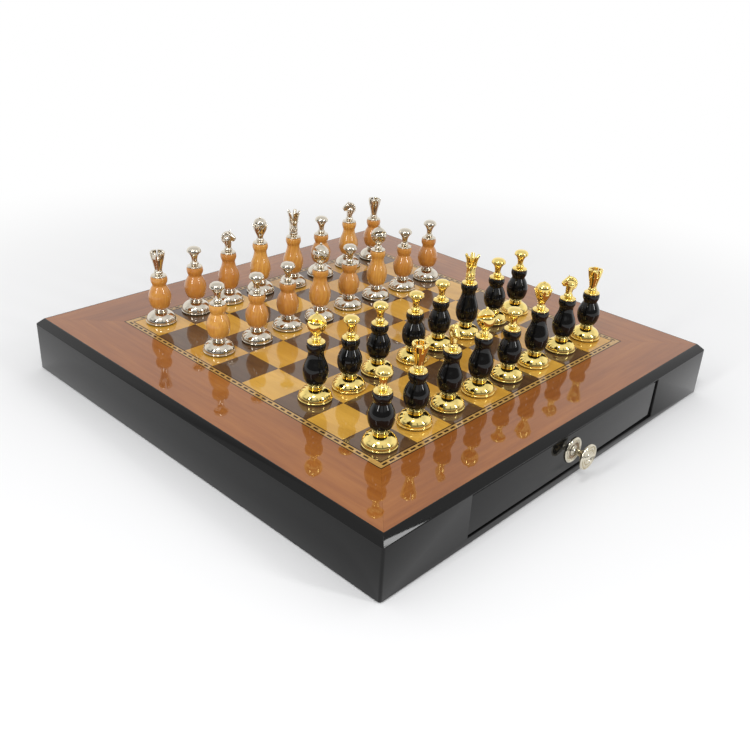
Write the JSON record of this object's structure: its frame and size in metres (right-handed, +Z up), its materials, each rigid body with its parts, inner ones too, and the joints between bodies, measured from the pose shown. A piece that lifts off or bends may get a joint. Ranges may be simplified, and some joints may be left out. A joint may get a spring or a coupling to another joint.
{
  "type": "chess box with drawers",
  "caption": "Low square chess box: inlaid board with a banded border, felt underside, lined drawers in two opposite sides, and turned wood-and-metal chessmen standing on the board.",
  "frame": {"origin": "middle of the felt underside, on the table", "axes": "+Z up through the board; +Y from the front drawer to the rear drawer; +X to the right as seen from the front drawer"},
  "size_m": [0.4, 0.427, 0.117],
  "materials": {
    "black_lacquer": "black gloss lacquer on wood",
    "plain_wood": "planed pale wood, thin satin seal",
    "green_felt": "short green felt",
    "walnut_veneer": "walnut veneer under high gloss lacquer",
    "dark_veneer": "dark stained strings and dashes under gloss lacquer",
    "pale_veneer": "pale veneer under gloss lacquer",
    "dark_squares": "dark walnut squares under gloss lacquer",
    "light_squares": "golden elm squares under gloss lacquer",
    "knob_metal": "polished plated zinc",
    "dark_bodies": "gloss black lacquer on the chessmen's turned wood",
    "light_bodies": "gloss lacquer on the chessmen's golden turned wood",
    "gold_men": null,
    "silver_men": null
  },
  "bodies": {
    "case": {"base_felt": "green_felt", "base_panel": "plain_wood", "side_left": "black_lacquer", "side_right": "black_lacquer", "front_frame": "black_lacquer", "back_frame": "black_lacquer", "centre_divider": "plain_wood", "drawer_guides": "plain_wood", "top_panel": "black_lacquer", "field_veneer": "walnut_veneer", "banding_dark": "dark_veneer", "banding_pale": "pale_veneer", "dark_squares": "dark_squares", "light_squares": "light_squares"},
    "front_drawer": {"front_drawer_face": "black_lacquer", "front_drawer_walls": "plain_wood", "front_drawer_bottom": "plain_wood", "front_drawer_lining": "green_felt", "front_drawer_strips": "plain_wood", "front_knob_plate": "knob_metal", "front_knob": "knob_metal"},
    "rear_drawer": {"rear_drawer_face": "black_lacquer", "rear_drawer_walls": "plain_wood", "rear_drawer_bottom": "plain_wood", "rear_drawer_lining": "green_felt", "rear_drawer_strips": "plain_wood", "rear_knob_plate": "knob_metal", "rear_knob": "knob_metal"},
    "gold_pawn_1_man": {"gold_pawn_1": "gold_men"},
    "gold_rook_1_man": {"gold_rook_1": "gold_men"},
    "gold_knight_1_man": {"gold_knight_1": "gold_men"},
    "gold_bishop_1_man": {"gold_bishop_1": "gold_men"},
    "gold_pawn_2_man": {"gold_pawn_2": "gold_men"},
    "gold_queen_man": {"gold_queen": "gold_men"},
    "gold_knight_2_man": {"gold_knight_2": "gold_men"},
    "gold_rook_2_man": {"gold_rook_2": "gold_men"},
    "gold_bishop_2_man": {"gold_bishop_2": "gold_men"},
    "gold_pawn_3_man": {"gold_pawn_3": "gold_men"},
    "gold_pawn_4_man": {"gold_pawn_4": "gold_men"},
    "gold_pawn_5_man": {"gold_pawn_5": "gold_men"},
    "gold_pawn_6_man": {"gold_pawn_6": "gold_men"},
    "gold_king_man": {"gold_king": "gold_men"},
    "gold_pawn_7_man": {"gold_pawn_7": "gold_men"},
    "gold_pawn_8_man": {"gold_pawn_8": "gold_men"},
    "silver_pawn_1_man": {"silver_pawn_1": "silver_men"},
    "silver_pawn_2_man": {"silver_pawn_2": "silver_men"},
    "silver_pawn_3_man": {"silver_pawn_3": "silver_men"},
    "silver_bishop_1_man": {"silver_bishop_1": "silver_men"},
    "silver_pawn_4_man": {"silver_pawn_4": "silver_men"},
    "silver_bishop_2_man": {"silver_bishop_2": "silver_men"},
    "silver_pawn_5_man": {"silver_pawn_5": "silver_men"},
    "silver_pawn_6_man": {"silver_pawn_6": "silver_men"},
    "silver_rook_1_man": {"silver_rook_1": "silver_men"},
    "silver_pawn_7_man": {"silver_pawn_7": "silver_men"},
    "silver_knight_1_man": {"silver_knight_1": "silver_men"},
    "silver_queen_man": {"silver_queen": "silver_men"},
    "silver_king_man": {"silver_king": "silver_men"},
    "silver_pawn_8_man": {"silver_pawn_8": "silver_men"},
    "silver_knight_2_man": {"silver_knight_2": "silver_men"},
    "silver_rook_2_man": {"silver_rook_2": "silver_men"}
  },
  "joints": [
    {"name": "drawer_front_slide", "type": "slide", "parent": "case", "child": "front_drawer", "axis": [0, -1, 0], "range_m": [0, 0.15]},
    {"name": "drawer_rear_slide", "type": "slide", "parent": "case", "child": "rear_drawer", "axis": [0, 1, 0], "range_m": [0, 0.15]},
    {"name": "lift_gold_pawn_1", "type": "slide", "parent": "case", "child": "gold_pawn_1_man", "axis": [0, 0, 1], "range_m": [0, 0.1]},
    {"name": "lift_gold_rook_1", "type": "slide", "parent": "case", "child": "gold_rook_1_man", "axis": [0, 0, 1], "range_m": [0, 0.1]},
    {"name": "lift_gold_knight_1", "type": "slide", "parent": "case", "child": "gold_knight_1_man", "axis": [0, 0, 1], "range_m": [0, 0.1]},
    {"name": "lift_gold_bishop_1", "type": "slide", "parent": "case", "child": "gold_bishop_1_man", "axis": [0, 0, 1], "range_m": [0, 0.1]},
    {"name": "lift_gold_pawn_2", "type": "slide", "parent": "case", "child": "gold_pawn_2_man", "axis": [0, 0, 1], "range_m": [0, 0.1]},
    {"name": "lift_gold_queen", "type": "slide", "parent": "case", "child": "gold_queen_man", "axis": [0, 0, 1], "range_m": [0, 0.1]},
    {"name": "lift_gold_knight_2", "type": "slide", "parent": "case", "child": "gold_knight_2_man", "axis": [0, 0, 1], "range_m": [0, 0.1]},
    {"name": "lift_gold_rook_2", "type": "slide", "parent": "case", "child": "gold_rook_2_man", "axis": [0, 0, 1], "range_m": [0, 0.1]},
    {"name": "lift_gold_bishop_2", "type": "slide", "parent": "case", "child": "gold_bishop_2_man", "axis": [0, 0, 1], "range_m": [0, 0.1]},
    {"name": "lift_gold_pawn_3", "type": "slide", "parent": "case", "child": "gold_pawn_3_man", "axis": [0, 0, 1], "range_m": [0, 0.1]},
    {"name": "lift_gold_pawn_4", "type": "slide", "parent": "case", "child": "gold_pawn_4_man", "axis": [0, 0, 1], "range_m": [0, 0.1]},
    {"name": "lift_gold_pawn_5", "type": "slide", "parent": "case", "child": "gold_pawn_5_man", "axis": [0, 0, 1], "range_m": [0, 0.1]},
    {"name": "lift_gold_pawn_6", "type": "slide", "parent": "case", "child": "gold_pawn_6_man", "axis": [0, 0, 1], "range_m": [0, 0.1]},
    {"name": "lift_gold_king", "type": "slide", "parent": "case", "child": "gold_king_man", "axis": [0, 0, 1], "range_m": [0, 0.1]},
    {"name": "lift_gold_pawn_7", "type": "slide", "parent": "case", "child": "gold_pawn_7_man", "axis": [0, 0, 1], "range_m": [0, 0.1]},
    {"name": "lift_gold_pawn_8", "type": "slide", "parent": "case", "child": "gold_pawn_8_man", "axis": [0, 0, 1], "range_m": [0, 0.1]},
    {"name": "lift_silver_pawn_1", "type": "slide", "parent": "case", "child": "silver_pawn_1_man", "axis": [0, 0, 1], "range_m": [0, 0.1]},
    {"name": "lift_silver_pawn_2", "type": "slide", "parent": "case", "child": "silver_pawn_2_man", "axis": [0, 0, 1], "range_m": [0, 0.1]},
    {"name": "lift_silver_pawn_3", "type": "slide", "parent": "case", "child": "silver_pawn_3_man", "axis": [0, 0, 1], "range_m": [0, 0.1]},
    {"name": "lift_silver_bishop_1", "type": "slide", "parent": "case", "child": "silver_bishop_1_man", "axis": [0, 0, 1], "range_m": [0, 0.1]},
    {"name": "lift_silver_pawn_4", "type": "slide", "parent": "case", "child": "silver_pawn_4_man", "axis": [0, 0, 1], "range_m": [0, 0.1]},
    {"name": "lift_silver_bishop_2", "type": "slide", "parent": "case", "child": "silver_bishop_2_man", "axis": [0, 0, 1], "range_m": [0, 0.1]},
    {"name": "lift_silver_pawn_5", "type": "slide", "parent": "case", "child": "silver_pawn_5_man", "axis": [0, 0, 1], "range_m": [0, 0.1]},
    {"name": "lift_silver_pawn_6", "type": "slide", "parent": "case", "child": "silver_pawn_6_man", "axis": [0, 0, 1], "range_m": [0, 0.1]},
    {"name": "lift_silver_rook_1", "type": "slide", "parent": "case", "child": "silver_rook_1_man", "axis": [0, 0, 1], "range_m": [0, 0.1]},
    {"name": "lift_silver_pawn_7", "type": "slide", "parent": "case", "child": "silver_pawn_7_man", "axis": [0, 0, 1], "range_m": [0, 0.1]},
    {"name": "lift_silver_knight_1", "type": "slide", "parent": "case", "child": "silver_knight_1_man", "axis": [0, 0, 1], "range_m": [0, 0.1]},
    {"name": "lift_silver_queen", "type": "slide", "parent": "case", "child": "silver_queen_man", "axis": [0, 0, 1], "range_m": [0, 0.1]},
    {"name": "lift_silver_king", "type": "slide", "parent": "case", "child": "silver_king_man", "axis": [0, 0, 1], "range_m": [0, 0.1]},
    {"name": "lift_silver_pawn_8", "type": "slide", "parent": "case", "child": "silver_pawn_8_man", "axis": [0, 0, 1], "range_m": [0, 0.1]},
    {"name": "lift_silver_knight_2", "type": "slide", "parent": "case", "child": "silver_knight_2_man", "axis": [0, 0, 1], "range_m": [0, 0.1]},
    {"name": "lift_silver_rook_2", "type": "slide", "parent": "case", "child": "silver_rook_2_man", "axis": [0, 0, 1], "range_m": [0, 0.1]}
  ]
}
